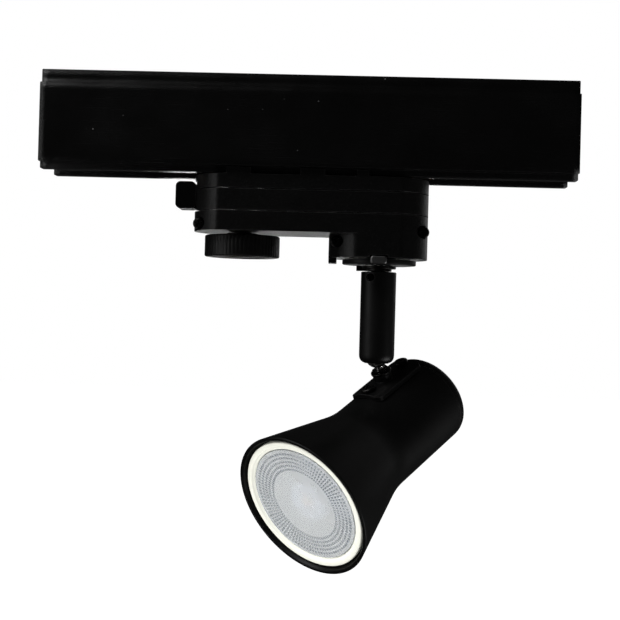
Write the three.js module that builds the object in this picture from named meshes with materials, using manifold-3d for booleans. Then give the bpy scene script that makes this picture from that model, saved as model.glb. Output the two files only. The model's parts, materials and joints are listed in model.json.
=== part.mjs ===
// Track spotlight: a section of three-circuit track, its adapter, a short stem with a ball joint,
// and a flared head that holds a 50 mm GU10 reflector lamp.
//
// Millimetres. +X runs along the track, +Z is up, and the lamp faces the -Y side.
// The origin is the middle of the track's top face, which is the face that meets the ceiling.
// Below the track everything is placed from the "stem datum": the stem's axis, at the height of the
// lower edge of the track's side faces. The head is placed from the ball's centre, and its parts
// from the middle of the lamp's face.

import * as THREE from 'three';
import { mergeVertices } from 'three/addons/utils/BufferGeometryUtils.js';
import Module from 'manifold-3d';

const wasm = await Module();
wasm.setup();

// ---------------------------------------------------------------- driving dimensions
const GAP = 0.3;                    // air between pieces that touch
const ROUND = 40;                   // sides of a large round
const MID_ROUND = 24;               // sides of a shaft, tube or ball
const SMALL_ROUND = 12;             // sides of a hole or a screw

// Heights are from the lower edge of the track's side faces; the lip runs below it.
const TRACK = {
  length: 193, width: 35.9, faceHeight: 28.4, ridgeWidth: 30, ridgeHeight: 5.1,
  lipInset: 3.5, lipDrop: 2.2, slotWidth: 17.5, lipTop: 1.2, channelWidth: 29.2, channelRoof: 23.8,
  edgeRadius: 0.8, fixingHole: 4.5, fixingInset: 20,
};
const INSULATOR = { thickness: 3.1, bottom: 6, top: 23.4, grooveDepth: 2.2, grooveHeight: 3 };
const CONDUCTOR = { depth: 1.6, height: 2.4, endInset: 0.5 };
const LEVELS = { low: 9.8, middle: 14.8, high: 19.8 };

const STEM_X = 26.8;                // stem axis, from the middle of the track
const ADAPTER = {
  left: -68.4, leftRadius: 17.3, right: 17.6, rightRadius: 16.9, halfWidth: 15.9, wall: 2.2,
  top: -2.6, topSeam: -7.8, baseSeam: -15.7, bottom: -22.9,
  blockLeft: -18.7, blockRadius: 17.2, blockBottom: -31.4,
};
const FOOT = { left: 0.1, right: 3, halfWidth: 5, bottom: -33.3 };   // from the block's left end
const TABS = { spans: [[-55.7, -47.1], [-29.2, -20.4], [-8.9, -4.7]], thickness: 0.9 };
const NECK = { left: -60, right: 11, halfWidth: 8.3, top: 1.5 };
const CARRIER = { left: -35, right: 8, halfWidth: 8, bottom: 1.8, top: 21.8 };
const SELECTOR_X = ADAPTER.left + 17.8;                   // lever and selector share this axis
const KNOB = { radius: 13.8, top: -24.1, bottom: -32, flutes: 44, fluteDepth: 0.45 };
const SHAFT = { radius: 3, bore: 3.4, flange: 5.9 };
const LOCK = { tubeRadius: 5.4, tubeBore: 5.8, hub: 9, tongueReach: 13.6, tongueHalfWidth: 7.2 };
const LEVER = { top: -4.8, bottom: -14.7, inner: 17.2, outer: 24.6, halfWidth: 5, corner: 1.8 };
const ARM = { height: 4.9, halfWidth: 4 };
const DRUM = { radius: 7.5, bottom: 6, top: 22.3, bladeReach: 10.9 };
const SCREW = { head: 2.2, headHeight: 1.3, shank: 1, length: 6 };

const DISC = { radius: 13.55, top: -31.8, bottom: -33.6 };
const STOP = { left: -3.5, right: 2.5, top: -30.7, bottom: -33.8, thickness: 1.8 };
const COLLAR = { radius: 6.3, top: -33.9, bottom: -34.9, neck: 4.7, keyReach: 8.3 };
const STEM = { radius: 6.48, top: -36.1, bottom: -69.6, bore: 3, roundHeight: 3.4, endRadius: 4.6 };
const BALL = { z: -67.1, radius: 4.2, socket: 4.5, neck: 1.9, bore: 1.2 };
const NIPPLE = { radius: 4.2, bore: 2.4, rise: 6 };
const WIRE_RADIUS = 0.9;

const HEAD_TURN = -40.9;            // degrees about +Z, from facing -Y
const HEAD_TILT = 27.5;             // degrees that the lamp looks down
const AXIS_DROP = 28.4;             // ball centre to the head's axis
const FACE_REACH = 57.4;            // ball centre to the lamp's face, along the head
const HOUSING = {
  mouth: 27.8, rim: -1.1, kink: 34.6, tube: 17.4, back: 73.8, wall: 1.5, blend: 5,
};
const CAP = { back: 78.3, edge: 3, spigot: 15.5, spigotFront: 70, wall: 2 };
const PLATE = { front: -12.5, rear: 15.3, width: 14, thickness: 1.5, corner: 2.5, screws: [-9.4, 11.8] };
const NUT = { radius: 3.2, top: -4.9, bottom: -5.5 };
const FLANGE = { radius: 3.9, top: -5.8, bottom: -6.8 };
const BOSS = { radius: 3.5, top: -7.1 };
const LAMP = {
  radius: 25, windowRadius: 22, ringDepth: 2.2, bodyFront: 2.5, bodyBack: 49.9, neck: 12.6,
  boardRadius: 16, boardDepth: 18.9, chip: 5.5, pinSpacing: 10, pinRadius: 1.3, pinHead: 2.4,
  pinLength: 7.3,
};
const HOLDER = { radius: 12.8, front: 50.3, back: 64, slotDepth: 8.2, twist: 28 };

// ---------------------------------------------------------------- materials
function finish(color, roughness, metalness = 0) {
  return new THREE.MeshStandardMaterial({ color, roughness, metalness });
}
const paintedTrack = finish(0x121212, 0.38, 0.4);
const blackPlastic = finish(0x141414, 0.62);
const blackPowder = finish(0x101010, 0.55, 0.2);
const blackSteel = finish(0x1b1a19, 0.42, 0.8);
const nickel = finish(0xc9c6c0, 0.2, 1);
const zincSteel = finish(0x9c9c98, 0.35, 1);
const copper = finish(0xb8733a, 0.3, 1);
const whitePlastic = finish(0xd8d6cf, 0.55);
const creamPlastic = finish(0xe9e5d2, 0.45);
const clearLens = finish(0xdfe6ea, 0.08);
const ledBoard = finish(0xe6e6e2, 0.5);
const ledPhosphor = finish(0xe8a862, 0.5);
const ceramic = finish(0xe9e2d2, 0.5);
const greyRubber = finish(0x4a4a4a, 0.6);

// ---------------------------------------------------------------- geometry helpers
function toSolid(geometry) {
  const bare = geometry.clone();
  bare.deleteAttribute('normal');
  bare.deleteAttribute('uv');
  const merged = mergeVertices(bare, 1e-4);
  return new wasm.Manifold(new wasm.Mesh({
    numProp: 3,
    vertProperties: new Float32Array(merged.attributes.position.array),
    triVerts: new Uint32Array(merged.index.array),
  }));
}

function toGeometry(solid) {
  const mesh = solid.getMesh();
  const geometry = new THREE.BufferGeometry();
  geometry.setAttribute('position', new THREE.BufferAttribute(mesh.vertProperties, 3));
  geometry.setIndex(new THREE.BufferAttribute(mesh.triVerts, 1));
  geometry.computeVertexNormals();
  return geometry;
}

function joined(...geometries) {
  return toGeometry(geometries.map(toSolid).reduce((all, next) => all.add(next)));
}

function cut(geometry, ...tools) {
  return toGeometry(tools.map(toSolid).reduce((left, tool) => left.subtract(tool), toSolid(geometry)));
}

function common(first, second) {
  return toGeometry(toSolid(first).intersect(toSolid(second)));
}

// A box from its lowest to its highest corner.
function box(x0, x1, y0, y1, z0, z1) {
  const geometry = new THREE.BoxGeometry(x1 - x0, y1 - y0, z1 - z0);
  return geometry.translate((x0 + x1) / 2, (y0 + y1) / 2, (z0 + z1) / 2);
}

// An upright cylinder or cone from z0 (radius bottom) to z1 (radius top).
function upright(z0, z1, bottom, top = bottom, sides = ROUND) {
  const geometry = new THREE.CylinderGeometry(top, bottom, z1 - z0, sides);
  return geometry.rotateX(Math.PI / 2).translate(0, 0, (z0 + z1) / 2);
}

// An outline in X and Y, raised from z0 to z1.
function raised(shape, z0, z1, curveSegments = 5) {
  const geometry = new THREE.ExtrudeGeometry(shape, { depth: z1 - z0, bevelEnabled: false, curveSegments });
  return geometry.translate(0, 0, z0);
}

// A section drawn in Y and Z, run along X from x0 to x1.
function alongTrack(shape, x0, x1) {
  const options = { depth: x1 - x0, bevelEnabled: false, curveSegments: 4 };
  const geometry = new THREE.ExtrudeGeometry(shape, options);
  const turn = new THREE.Matrix4().makeBasis(
    new THREE.Vector3(0, 1, 0), new THREE.Vector3(0, 0, 1), new THREE.Vector3(1, 0, 0));
  return geometry.applyMatrix4(turn).translate(x0, 0, 0);
}

// An outline from corner points [x, y, fillet]; a fillet of 0, or none, leaves the corner sharp.
function outline(corners) {
  const shape = new THREE.Shape();
  corners.forEach(([x, y, fillet = 0], i) => {
    const here = new THREE.Vector2(x, y);
    const towards = ([u, v]) => new THREE.Vector2(u, v).sub(here).setLength(fillet).add(here);
    const before = towards(corners.at(i - 1));
    const after = towards(corners[(i + 1) % corners.length]);
    if (i === 0) shape.moveTo(before.x, before.y);
    else shape.lineTo(before.x, before.y);
    if (fillet > 0) shape.quadraticCurveTo(x, y, after.x, after.y);
  });
  shape.closePath();
  return shape;
}

// A rectangle with true round corners.
function roundedRectangle(x0, x1, y0, y1, radius) {
  const shape = new THREE.Shape();
  shape.moveTo(x0 + radius, y0);
  shape.lineTo(x1 - radius, y0);
  shape.absarc(x1 - radius, y0 + radius, radius, -Math.PI / 2, 0);
  shape.absarc(x1 - radius, y1 - radius, radius, 0, Math.PI / 2);
  shape.absarc(x0 + radius, y1 - radius, radius, Math.PI / 2, Math.PI);
  shape.absarc(x0 + radius, y0 + radius, radius, Math.PI, Math.PI * 1.5);
  return shape;
}

// A ring sector between two radii and two angles in degrees.
function sector(inner, outer, from, to) {
  const start = THREE.MathUtils.degToRad(from);
  const end = THREE.MathUtils.degToRad(to);
  const shape = new THREE.Shape();
  shape.absarc(0, 0, outer, start, end);
  shape.absarc(0, 0, inner, end, start, true);
  return shape;
}

// A closed profile of [depth, radius] points turned about the head's axis; depth runs backwards.
function turned(profile, sides = ROUND) {
  const points = profile.map(([depth, radius]) => new THREE.Vector2(radius, depth));
  if (THREE.ShapeUtils.isClockWise(points)) points.reverse();
  return new THREE.LatheGeometry([...points, points[0]], sides);
}

// A rod or tube centred on the head's axis.
function rod(front, back, radius, sides = ROUND) {
  return new THREE.CylinderGeometry(radius, radius, back - front, sides).translate(0, (front + back) / 2, 0);
}

// A wire that follows a smooth line through a few points.
function wire(points) {
  const section = new THREE.Shape().absarc(0, 0, WIRE_RADIUS, 0, Math.PI * 2);
  const path = new THREE.CatmullRomCurve3(points.map((point) => new THREE.Vector3(...point)));
  return new THREE.ExtrudeGeometry(section, { steps: 10, extrudePath: path, curveSegments: 4 });
}

// A pan-head screw along +Z with a cross recess; z = 0 is the face that the head sits on.
function crossScrew({ head, headHeight, shank, length }) {
  const profile = [[0, -length], [shank, -length], [shank, 0], [head, 0], [head, headHeight * 0.55]];
  for (let step = 1; step <= 3; step++) {
    const angle = (step / 3) * (Math.PI / 2);
    profile.push([head * Math.cos(angle), headHeight * (0.55 + 0.45 * Math.sin(angle))]);
  }
  const points = profile.map(([radius, height]) => new THREE.Vector2(Math.max(radius, 0), height));
  points[points.length - 1].x = 0;
  const body = new THREE.LatheGeometry(points, SMALL_ROUND).rotateX(Math.PI / 2);
  const reach = head * 0.62;
  const blade = head * 0.16;
  const floor = headHeight * 0.35;
  return cut(body,
    box(-reach, reach, -blade, blade, floor, headHeight * 2),
    box(-blade, blade, -reach, reach, floor, headHeight * 2));
}

// ---------------------------------------------------------------- scene graph
function group(parent, x = 0, y = 0, z = 0) {
  const node = new THREE.Group();
  node.position.set(x, y, z);
  parent.add(node);
  return node;
}

function piece(parent, name, geometry, material) {
  const mesh = new THREE.Mesh(geometry, material);
  mesh.name = name;
  parent.add(mesh);
  return mesh;
}

const spotlight = new THREE.Group();
const underTrack = group(spotlight, 0, 0, -(TRACK.faceHeight + TRACK.ridgeHeight));
const stemDatum = group(underTrack, STEM_X);

// ---------------------------------------------------------------- track
function trackSection() {
  const face = TRACK.width / 2;
  const ridge = TRACK.ridgeWidth / 2;
  const slot = TRACK.slotWidth / 2;
  const channel = TRACK.channelWidth / 2;
  const top = TRACK.faceHeight + TRACK.ridgeHeight;
  const edge = TRACK.edgeRadius;
  const lip = face - TRACK.lipInset;
  const half = [
    [slot, -TRACK.lipDrop, edge / 2], [lip, -TRACK.lipDrop, edge / 2], [lip, 0], [face, 0, edge / 2],
    [face, TRACK.faceHeight, edge], [ridge, TRACK.faceHeight], [ridge, top, edge],
  ];
  const hollow = [[channel, TRACK.channelRoof], [channel, TRACK.lipTop], [slot, TRACK.lipTop]];
  const mirror = (corners) => corners.map(([y, z, fillet]) => [-y, z, fillet]).reverse();
  return outline([...half, ...mirror(half), ...mirror(hollow), ...hollow]);
}

function makeTrack() {
  const end = TRACK.length / 2;
  const top = TRACK.faceHeight + TRACK.ridgeHeight;
  const radius = TRACK.fixingHole / 2;
  const holes = [-1, 1].map((side) => upright(TRACK.channelRoof - 1, top + 1, radius, radius, SMALL_ROUND)
    .translate(side * (end - TRACK.fixingInset), 0, 0));
  piece(underTrack, 'track_extrusion', cut(alongTrack(trackSection(), -end, end), ...holes), paintedTrack);
}

// An insulating strip on one wall of the channel, with a groove at each conductor's height.
function makeInsulator(name, side, levels) {
  const wall = TRACK.channelWidth / 2 - GAP;
  const open = wall - INSULATOR.thickness;
  const floor = open + INSULATOR.grooveDepth;
  const half = INSULATOR.grooveHeight / 2;
  const corners = [[wall, INSULATOR.bottom], [open, INSULATOR.bottom]];
  for (const level of levels) {
    corners.push([open, level - half], [floor, level - half], [floor, level + half], [open, level + half]);
  }
  corners.push([open, INSULATOR.top], [wall, INSULATOR.top]);
  const section = outline(corners.map(([y, z]) => [side * y, z]));
  const end = TRACK.length / 2 - CONDUCTOR.endInset;
  piece(underTrack, name, alongTrack(section, -end, end), whitePlastic);
}

function makeConductor(name, side, level) {
  const inner = TRACK.channelWidth / 2 - GAP - INSULATOR.thickness + GAP;
  const outer = inner + CONDUCTOR.depth;
  const end = TRACK.length / 2 - 2 * CONDUCTOR.endInset;
  const half = CONDUCTOR.height / 2;
  const [y0, y1] = side > 0 ? [inner, outer] : [-outer, -inner];
  piece(underTrack, name, box(-end, end, y0, y1, level - half, level + half), copper);
}

makeTrack();
makeInsulator('track_insulator_front', -1, [LEVELS.low, LEVELS.high]);
makeInsulator('track_insulator_rear', 1, [LEVELS.low, LEVELS.middle]);
makeConductor('conductor_phase_1', -1, LEVELS.low);
makeConductor('conductor_phase_2', -1, LEVELS.high);
makeConductor('conductor_phase_3', 1, LEVELS.middle);
makeConductor('conductor_neutral', 1, LEVELS.low);

// ---------------------------------------------------------------- adapter
// The sides are flat, and a shallow arc closes each end; arc and side meet at a crease.
function adapterOutline(inset = 0, left = ADAPTER.left, leftRadius = ADAPTER.leftRadius) {
  const half = ADAPTER.halfWidth - inset;
  const leftHalfAngle = Math.asin(half / (leftRadius - inset));
  const rightHalfAngle = Math.asin(half / (ADAPTER.rightRadius - inset));
  const shape = new THREE.Shape();
  shape.absarc(left + leftRadius, 0, leftRadius - inset, Math.PI - leftHalfAngle, Math.PI + leftHalfAngle);
  shape.absarc(ADAPTER.right - ADAPTER.rightRadius, 0, ADAPTER.rightRadius - inset,
    -rightHalfAngle, rightHalfAngle);
  shape.closePath();
  return shape;
}

// The block under the adapter's right end, which carries the stem.
function blockOutline(inset = 0) {
  return adapterOutline(inset, ADAPTER.blockLeft, ADAPTER.blockRadius);
}

// Either outline raised between two heights.
function adapterSolid(shape, z0, z1) {
  return raised(shape, z0, z1, 10);
}

// The space that the locking lever sweeps, from pointing along -X to pointing along +Y.
function leverSweep(inner, z0, z1) {
  const spread = 19;
  return raised(sector(inner, LEVER.outer + 4, 90 - spread, 180 + spread), z0, z1)
    .translate(SELECTOR_X, 0, 0);
}

function makeAdapterTop() {
  const outer = ADAPTER.halfWidth;
  const inner = outer - TABS.thickness;
  const tabParts = TABS.spans.flatMap(([x0, x1]) => [-1, 1].map((side) => {
    const [y0, y1] = side > 0 ? [inner, outer] : [-outer, -inner];
    return box(x0, x1, y0, y1, ADAPTER.top - 1, -GAP);
  }));
  const body = joined(
    adapterSolid(adapterOutline(), ADAPTER.topSeam + GAP / 2, ADAPTER.top),
    box(NECK.left, NECK.right, -NECK.halfWidth, NECK.halfWidth, ADAPTER.top - 1, NECK.top),
    ...tabParts);
  const bore = upright(-20, 20, LOCK.tubeBore, LOCK.tubeBore, ROUND).translate(SELECTOR_X, 0, 0);
  const wireHole = upright(-20, 20, 3, 3, SMALL_ROUND).translate(-23, 0, 0);
  const sweep = leverSweep(LEVER.inner - GAP, LEVER.bottom - 1, LEVER.top + GAP);
  piece(stemDatum, 'adapter_top', cut(body, bore, wireHole, sweep), blackPlastic);
}

function makeAdapterFrame() {
  const z0 = ADAPTER.baseSeam + GAP / 2;
  const z1 = ADAPTER.topSeam - GAP / 2;
  const armWindow = leverSweep(LOCK.hub + 1, z0 - 1, LEVER.bottom + ARM.height + GAP);
  const sweep = leverSweep(LEVER.inner - GAP, z0 - 1, z1 + 1);
  const hollow = adapterSolid(adapterOutline(ADAPTER.wall), z0 - 1, z1 + 1);
  const frame = cut(adapterSolid(adapterOutline(), z0, z1), hollow, armWindow, sweep);
  piece(stemDatum, 'adapter_frame', frame, blackPlastic);
}

// Screws that face the front: where along the adapter, how high, and where the head's seat is.
const adapterScrews = [
  { name: 'left', x: ADAPTER.left + 2.3, z: -20.3, seat: -6.3 },
  { name: 'block', x: ADAPTER.blockLeft + 2.8, z: -25.6, seat: -7.5 },
  { name: 'right', x: ADAPTER.right - 2, z: -21.5, seat: -6 },
];

// Moves something made along +Z from a screw's seat so that it faces the front.
function ontoFront(geometry, { x, z, seat }) {
  return geometry.rotateX(Math.PI / 2).translate(x, seat, z);
}

function makeAdapterBase() {
  const top = ADAPTER.baseSeam - GAP / 2;
  const foot = box(ADAPTER.blockLeft + FOOT.left, ADAPTER.blockLeft + FOOT.right,
    -FOOT.halfWidth, FOOT.halfWidth, FOOT.bottom, ADAPTER.blockBottom + 1);
  const shell = joined(adapterSolid(adapterOutline(), ADAPTER.bottom, top),
    adapterSolid(blockOutline(), ADAPTER.blockBottom, top), foot);
  const hollow = cut(shell,
    adapterSolid(adapterOutline(ADAPTER.wall), ADAPTER.bottom + ADAPTER.wall, top + 1),
    adapterSolid(blockOutline(ADAPTER.wall), ADAPTER.blockBottom + ADAPTER.wall, top + 1));
  const hole = SCREW.shank + GAP;
  const pocket = SCREW.head + GAP;
  const bosses = adapterScrews.map((place) =>
    ontoFront(upright(-SCREW.length - 1, 0, pocket + 0.6, pocket + 0.6, MID_ROUND), place));
  const pockets = adapterScrews.flatMap((place) => [
    ontoFront(upright(0, 12, pocket, pocket, MID_ROUND), place),
    ontoFront(upright(-SCREW.length - 3, 1, hole, hole, SMALL_ROUND), place)]);
  const shaftHole = upright(-30, top, SHAFT.bore, SHAFT.bore, SMALL_ROUND).translate(SELECTOR_X, 0, 0);
  const stemHole = upright(-40, top, NIPPLE.radius + GAP, NIPPLE.radius + GAP, SMALL_ROUND);
  const stopNotch = box(STOP.left - GAP, STOP.right + GAP, -2 * DISC.radius, -DISC.radius,
    -40, STOP.top + GAP);
  const bossesInside = common(joined(...bosses), shell);
  piece(stemDatum, 'adapter_base',
    cut(joined(hollow, bossesInside), ...pockets, shaftHole, stemHole, stopNotch), blackPlastic);
}

function makeAdapterScrews() {
  for (const place of adapterScrews) {
    const screw = crossScrew(SCREW).translate(0, 0, GAP);
    piece(stemDatum, `adapter_screw_${place.name}`, ontoFront(screw, place), blackSteel);
  }
}

function makeAdapterInside() {
  const carrier = box(CARRIER.left, CARRIER.right, -CARRIER.halfWidth, CARRIER.halfWidth,
    CARRIER.bottom, CARRIER.top);
  const wireHole = upright(0, CARRIER.top - 4, 2.5, 2.5, SMALL_ROUND).translate(-23, 0, 0);
  piece(stemDatum, 'contact_carrier', cut(carrier, wireHole), whitePlastic);
  const reach = TRACK.channelWidth / 2 - GAP - INSULATOR.thickness;
  const leaf = box(-12, 2, CARRIER.halfWidth + GAP, reach, LEVELS.low - 0.6, LEVELS.low + 0.6);
  piece(stemDatum, 'neutral_contact', leaf, copper);
  for (const [name, side] of [['earth_contact_front', -1], ['earth_contact_rear', 1]]) {
    const ys = [side * (CARRIER.halfWidth + GAP), side * (reach + 1)].sort((a, b) => a - b);
    piece(stemDatum, name, box(-30, -22, ...ys, TRACK.lipTop + GAP, TRACK.lipTop + 1), copper);
  }
  const block = box(-34, -16, -9, 9, -20.4, ADAPTER.topSeam - 1);
  const ways = [-6, 0, 6].map((y) => upright(-14, 0, 1.6, 1.6, SMALL_ROUND).translate(-25, y, 0));
  piece(stemDatum, 'terminal_block', cut(block, ...ways), whitePlastic);
}

function makeSwivelStop() {
  const face = DISC.radius + GAP;
  const shape = roundedRectangle(STOP.left, STOP.right, STOP.bottom, STOP.top, 1.1);
  const tab = raised(shape, 0, STOP.thickness, 4).rotateX(Math.PI / 2).translate(0, -face, 0);
  piece(stemDatum, 'swivel_stop', tab, zincSteel);
}

makeAdapterTop();
makeAdapterFrame();
makeAdapterBase();
makeAdapterScrews();
makeAdapterInside();
makeSwivelStop();

// ---------------------------------------------------------------- locking lever, about the selector's axis
const lockAxis = group(stemDatum, SELECTOR_X);

function makeLock() {
  const armTop = LEVER.bottom + ARM.height;
  const hub = upright(LEVER.bottom, armTop, LOCK.hub);
  const arm = box(-LEVER.inner - 1, 0, -ARM.halfWidth, ARM.halfWidth, LEVER.bottom, armTop);
  const paddle = raised(roundedRectangle(-LEVER.outer, -LEVER.inner, LEVER.bottom, LEVER.top, LEVER.corner),
    -LEVER.halfWidth, LEVER.halfWidth, 5).rotateX(Math.PI / 2);
  const bore = upright(-40, 40, SHAFT.bore, SHAFT.bore, SMALL_ROUND);
  piece(lockAxis, 'lock_lever', cut(joined(hub, arm, paddle), bore), blackPlastic);
  const tube = upright(armTop + GAP, TRACK.lipTop + GAP, LOCK.tubeRadius, LOCK.tubeRadius, MID_ROUND);
  piece(lockAxis, 'lock_tube', cut(tube, bore), zincSteel);
  const reach = LOCK.tongueReach;
  const bar = box(-LOCK.tongueHalfWidth, LOCK.tongueHalfWidth, -reach, reach,
    TRACK.lipTop + 2 * GAP, TRACK.lipTop + 3.6);
  const tongue = common(bar, upright(0, 10, reach));
  piece(lockAxis, 'lock_tongue', cut(tongue, bore), zincSteel);
}

// ---------------------------------------------------------------- circuit selector
function knobOutline() {
  const shape = new THREE.Shape();
  const steps = KNOB.flutes * 2;
  for (let step = 0; step < steps; step++) {
    const angle = (step / steps) * Math.PI * 2;
    const radius = KNOB.radius - (step % 2) * KNOB.fluteDepth;
    const place = [radius * Math.cos(angle), radius * Math.sin(angle)];
    if (step === 0) shape.moveTo(...place);
    else shape.lineTo(...place);
  }
  return shape;
}

function makeSelector() {
  const gripHalf = 2.4;
  const grips = [-1, 1].map((side) => {
    const moon = upright(KNOB.bottom - 1, KNOB.bottom + 3, KNOB.radius - 3, KNOB.radius - 3, MID_ROUND);
    const [y0, y1] = side > 0 ? [gripHalf, KNOB.radius] : [-KNOB.radius, -gripHalf];
    return common(moon, box(-KNOB.radius, KNOB.radius, y0, y1, KNOB.bottom - 1, KNOB.bottom + 3));
  });
  piece(lockAxis, 'selector_knob', cut(raised(knobOutline(), KNOB.bottom, KNOB.top), ...grips), blackPlastic);
  const shaft = joined(
    upright(KNOB.top + GAP, DRUM.bottom - GAP, SHAFT.radius, SHAFT.radius, SMALL_ROUND),
    upright(KNOB.top + GAP, ADAPTER.bottom - GAP, SHAFT.flange, SHAFT.flange, MID_ROUND));
  piece(lockAxis, 'selector_shaft', shaft, blackPlastic);
  const drum = upright(DRUM.bottom, DRUM.top, DRUM.radius, DRUM.radius, MID_ROUND);
  piece(lockAxis, 'selector_drum', drum, whitePlastic);
  const blades = [[1, LEVELS.low, 210], [2, LEVELS.high, 150], [3, LEVELS.middle, 270]];
  for (const [circuit, level, angle] of blades) {
    const blade = box(DRUM.radius + GAP, DRUM.bladeReach, -2, 2, level - 0.6, level + 0.6);
    blade.rotateZ(THREE.MathUtils.degToRad(angle));
    piece(lockAxis, `selector_blade_${circuit}`, blade, copper);
  }
}

makeLock();
makeSelector();

// ---------------------------------------------------------------- swivelling stem
function stemProfile() {
  const points = [[0, STEM.top], [STEM.radius, STEM.top]];
  for (let step = 0; step <= 5; step++) {
    const angle = (step / 5) * (Math.PI / 2);
    points.push([
      STEM.endRadius + (STEM.radius - STEM.endRadius) * Math.cos(angle),
      STEM.bottom + STEM.roundHeight * (1 - Math.sin(angle)),
    ]);
  }
  points.push([0, STEM.bottom]);
  return points.reverse().map(([radius, z]) => new THREE.Vector2(radius, z));
}

function makeStem() {
  const inside = ADAPTER.blockBottom + ADAPTER.wall;
  const neckBottom = STEM.top + GAP;
  const bore = upright(-100, 0, NIPPLE.bore, NIPPLE.bore, SMALL_ROUND);
  const clearance = upright(-40, 0, NIPPLE.radius + GAP, NIPPLE.radius + GAP, SMALL_ROUND);
  const nipple = upright(COLLAR.top + GAP, inside + NIPPLE.rise, NIPPLE.radius, NIPPLE.radius, SMALL_ROUND);
  piece(stemDatum, 'swivel_disc', cut(upright(DISC.bottom, DISC.top, DISC.radius), clearance), blackPowder);
  piece(stemDatum, 'swivel_nipple', cut(nipple, bore), zincSteel);
  piece(stemDatum, 'swivel_nut', cut(upright(inside + GAP, inside + 3.5, 7.5, 7.5, 6), clearance), zincSteel);
  const collar = joined(upright(COLLAR.bottom, COLLAR.top, COLLAR.radius, COLLAR.radius, MID_ROUND),
    upright(neckBottom, COLLAR.bottom + 0.1, COLLAR.neck, COLLAR.neck, MID_ROUND),
    box(-COLLAR.keyReach, -COLLAR.neck + 0.5, -1.5, 1.5, neckBottom, COLLAR.top));
  piece(stemDatum, 'stem_collar', cut(collar, bore), blackSteel);
  const seatTop = -58;
  const grubPlace = [-3.2, 0, -38.2];
  const grubHole = upright(0, 10, 1.5, 1.5, SMALL_ROUND).rotateX(Math.PI / 2).translate(...grubPlace);
  const tube = cut(new THREE.LatheGeometry(stemProfile(), ROUND).rotateX(Math.PI / 2),
    upright(STEM.bottom + 10, 0, STEM.bore, STEM.bore, SMALL_ROUND),
    upright(BALL.z, seatTop + GAP, BALL.socket, BALL.socket, MID_ROUND),
    new THREE.SphereGeometry(BALL.socket, MID_ROUND, 14).translate(0, 0, BALL.z), grubHole);
  piece(stemDatum, 'stem_tube', tube, blackPowder);
  const grub = upright(3.6, 5, 1.2, 1.2, SMALL_ROUND).rotateX(Math.PI / 2).translate(...grubPlace);
  piece(stemDatum, 'stem_grub_screw', grub, blackSteel);
  const seatRadius = BALL.socket - GAP;
  const seat = upright(BALL.z + BALL.radius + GAP, seatTop, seatRadius, seatRadius, MID_ROUND);
  piece(stemDatum, 'ball_seat', cut(seat, upright(-70, 0, 1.5, 1.5, SMALL_ROUND)), greyRubber);
  piece(stemDatum, 'stem_wire', upright(seatTop, -24, WIRE_RADIUS, WIRE_RADIUS, 10), creamPlastic);
}

makeStem();

// ---------------------------------------------------------------- ball stud and head
// headJoint sits on the ball's centre: its +Z runs up the stud and its -Y is the way the lamp faces.
const headTurn = group(stemDatum, 0, 0, BALL.z);
headTurn.rotation.z = THREE.MathUtils.degToRad(HEAD_TURN);
const headJoint = group(headTurn);
headJoint.rotation.x = THREE.MathUtils.degToRad(HEAD_TILT);
const headAxis = group(headJoint, 0, -FACE_REACH, -AXIS_DROP);
const shellTop = HOUSING.tube - AXIS_DROP;

function makeBallStud() {
  const stud = joined(new THREE.SphereGeometry(BALL.radius, MID_ROUND, 14).rotateX(Math.PI / 2),
    upright(shellTop + GAP, -BALL.radius + 1, BALL.neck, BALL.neck, SMALL_ROUND));
  piece(headJoint, 'ball_stud', cut(stud, upright(-20, 10, BALL.bore, BALL.bore, SMALL_ROUND)), nickel);
  const bore = upright(-20, 0, BALL.neck + GAP, BALL.neck + GAP, SMALL_ROUND);
  const nut = upright(NUT.bottom, NUT.top, NUT.radius, NUT.radius, 6);
  piece(headJoint, 'stud_nut', cut(nut, bore), blackSteel);
  const flange = upright(FLANGE.bottom, FLANGE.top, FLANGE.radius, FLANGE.radius, MID_ROUND);
  piece(headJoint, 'stud_flange', cut(flange, bore), blackSteel);
}

// The saddle follows the head's tube; a round boss on it takes the stud.
function makeSaddle() {
  const inner = HOUSING.tube + GAP;
  const outer = inner + PLATE.thickness;
  const half = PLATE.width / 2;
  const blank = raised(roundedRectangle(-half, half, PLATE.front, PLATE.rear, PLATE.corner), shellTop - 6, 0);
  const shellOuter = rod(-30, 30, outer, 2 * ROUND).translate(0, 0, -AXIS_DROP);
  const shellInner = rod(-40, 40, inner, 2 * ROUND).translate(0, 0, -AXIS_DROP);
  const boss = upright(shellTop - 1, BOSS.top, BOSS.radius, BOSS.radius, MID_ROUND);
  const holes = PLATE.screws.map((y) =>
    upright(-20, 0, SCREW.shank + GAP, SCREW.shank + GAP, SMALL_ROUND).translate(0, y, 0));
  const plate = joined(common(blank, shellOuter), boss);
  const bore = upright(-20, 0, BALL.neck + GAP, BALL.neck + GAP, SMALL_ROUND);
  piece(headJoint, 'saddle_plate', cut(plate, shellInner, bore, ...holes), blackPowder);
  const names = ['saddle_screw_front', 'saddle_screw_rear'];
  names.forEach((name, index) => {
    const screw = crossScrew({ head: 2.7, headHeight: 1.2, shank: SCREW.shank, length: 3.2 });
    const seat = shellTop + GAP + PLATE.thickness + GAP;
    piece(headJoint, name, screw.translate(0, PLATE.screws[index], seat), blackSteel);
  });
}

// The flare runs straight from the mouth to the kink, where a short arc blends it into the tube.
function flareRadius(depth) {
  const slope = (HOUSING.mouth - HOUSING.tube) / (HOUSING.kink - HOUSING.rim);
  return HOUSING.mouth - slope * (depth - HOUSING.rim);
}

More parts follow.
